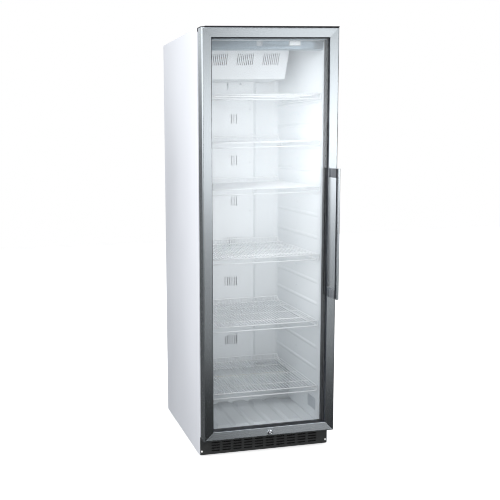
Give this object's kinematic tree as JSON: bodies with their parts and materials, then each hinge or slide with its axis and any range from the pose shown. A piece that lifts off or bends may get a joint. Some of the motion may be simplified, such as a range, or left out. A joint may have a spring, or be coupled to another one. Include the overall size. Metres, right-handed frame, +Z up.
{
  "type": "upright glass door refrigerator",
  "caption": "Tall narrow reach-in cooler with a hinged double-glazed stainless-framed door, vertical bar handle, wire shelves, slotted kick grille and a rear machine bay.",
  "frame": {"origin": "on the floor, under the centre of the whole cooler's box, handle included", "axes": "+X to the right seen from the door, +Y from the door to the back, +Z up"},
  "size_m": [0.6, 0.673, 1.85],
  "materials": {
    "white_paint": "smooth satin white powder coat",
    "stainless": "brushed stainless cladding, grain along each member",
    "zinc_sheet": "plain galvanised sheet",
    "black_plastic": "matt moulded black",
    "black_metal": "matt black paint",
    "gasket_rubber": "soft magnetic door seal",
    "liner_white": "thermoformed white plastic, slight sheen",
    "foam": "rigid foamed insulation",
    "glass": "clear pane with a faint coating",
    "shelf_wire": "white coated wire",
    "header_grey": "blue grey moulded plastic",
    "lamp": "translucent white lens",
    "switch_grey": "light grey moulded plastic",
    "aluminium": "thin pressed fins",
    "copper": "drawn copper tube",
    "chrome": "bright plated"
  },
  "bodies": {
    "cabinet": {"side_panel_right": "white_paint", "side_panel_left": "white_paint", "top_panel": "white_paint", "back_panel": "zinc_sheet", "base_pan": "zinc_sheet", "insulation_right": "foam", "insulation_left": "foam", "insulation_rear": "foam", "insulation_floor": "foam", "inner_liner": "liner_white", "duct_panel": "liner_white", "evaporator_cover": "liner_white", "evaporator_coil": "aluminium", "evaporator_motor": "black_metal", "header_fascia": "header_grey", "lamp_lens": "lamp", "shelf_1": "shelf_wire", "shelf_2": "shelf_wire", "shelf_3": "shelf_wire", "shelf_4": "shelf_wire", "shelf_5": "shelf_wire", "shelf_6": "shelf_wire", "kick_grille": "black_metal", "kick_screw_left": "chrome", "kick_screw_right": "chrome", "hinge_bracket_top": "black_metal", "hinge_bracket_bottom": "black_metal", "lock_keeper": "black_metal", "compressor": "black_metal", "terminal_cover": "black_plastic", "condenser": "aluminium", "condenser_shroud": "black_plastic", "condenser_motor": "black_metal", "drip_tray": "black_plastic", "refrigerant_line": "copper", "power_inlet": "black_plastic", "rear_cover": "zinc_sheet", "data_plate": "switch_grey"},
    "door": {"door_rail_bottom": "stainless", "door_rail_top": "stainless", "door_stile_hinge": "stainless", "door_stile_handle": "stainless", "glass_outer": "glass", "glass_inner": "glass", "glass_spacer": "black_plastic", "door_inner_frame": "black_plastic", "door_gasket": "gasket_rubber", "handle_bar": "stainless", "handle_post_bottom": "black_metal", "handle_post_top": "black_metal", "lock_barrel": "chrome"},
    "lock": {"lock_plug": "chrome"},
    "light_switch": {"light_switch": "switch_grey"},
    "thermostat_dial": {"thermostat_dial": "switch_grey"},
    "evaporator_fan": {"evaporator_fan": "black_plastic"},
    "condenser_fan": {"condenser_fan": "black_plastic"},
    "foot_left": {"foot_left": "black_plastic"},
    "foot_right": {"foot_right": "black_plastic"},
    "roller_left": {"roller_left": "black_plastic"},
    "roller_right": {"roller_right": "black_plastic"}
  },
  "joints": [
    {"name": "door_hinge", "type": "hinge", "parent": "cabinet", "child": "door", "pos_m": [-0.285, -0.2565, 0.97], "axis": [0, 0, -1], "range_deg": [0, 110]},
    {"name": "lock_turn", "type": "hinge", "parent": "door", "child": "lock", "pos_m": [0, -0.2615, 0.113], "axis": [0, 1, 0], "range_deg": [0, 90]},
    {"name": "light_switch_rock", "type": "hinge", "parent": "cabinet", "child": "light_switch", "pos_m": [-0.026, -0.2115, 1.788], "axis": [-1, 0, 0], "range_deg": [0, 12]},
    {"name": "thermostat_turn", "type": "hinge", "parent": "cabinet", "child": "thermostat_dial", "pos_m": [-0.235, -0.1955, 1.763], "axis": [0, 0, 1], "range_deg": [0, 300]},
    {"name": "evaporator_fan_spin", "type": "hinge", "parent": "cabinet", "child": "evaporator_fan", "pos_m": [0, 0.0615, 1.728], "axis": [0, 1, 0], "continuous": true},
    {"name": "condenser_fan_spin", "type": "hinge", "parent": "cabinet", "child": "condenser_fan", "pos_m": [-0.15, 0.2445, 0.082], "axis": [0, 1, 0], "continuous": true},
    {"name": "foot_left_turn", "type": "hinge", "parent": "cabinet", "child": "foot_left", "pos_m": [-0.255, -0.1765, 0], "axis": [0, 0, 1], "continuous": true},
    {"name": "foot_right_turn", "type": "hinge", "parent": "cabinet", "child": "foot_right", "pos_m": [0.255, -0.1765, 0], "axis": [0, 0, 1], "continuous": true},
    {"name": "roller_left_roll", "type": "hinge", "parent": "cabinet", "child": "roller_left", "pos_m": [-0.255, 0.2835, 0.019], "axis": [1, 0, 0], "continuous": true},
    {"name": "roller_right_roll", "type": "hinge", "parent": "cabinet", "child": "roller_right", "pos_m": [0.255, 0.2835, 0.019], "axis": [1, 0, 0], "continuous": true}
  ]
}
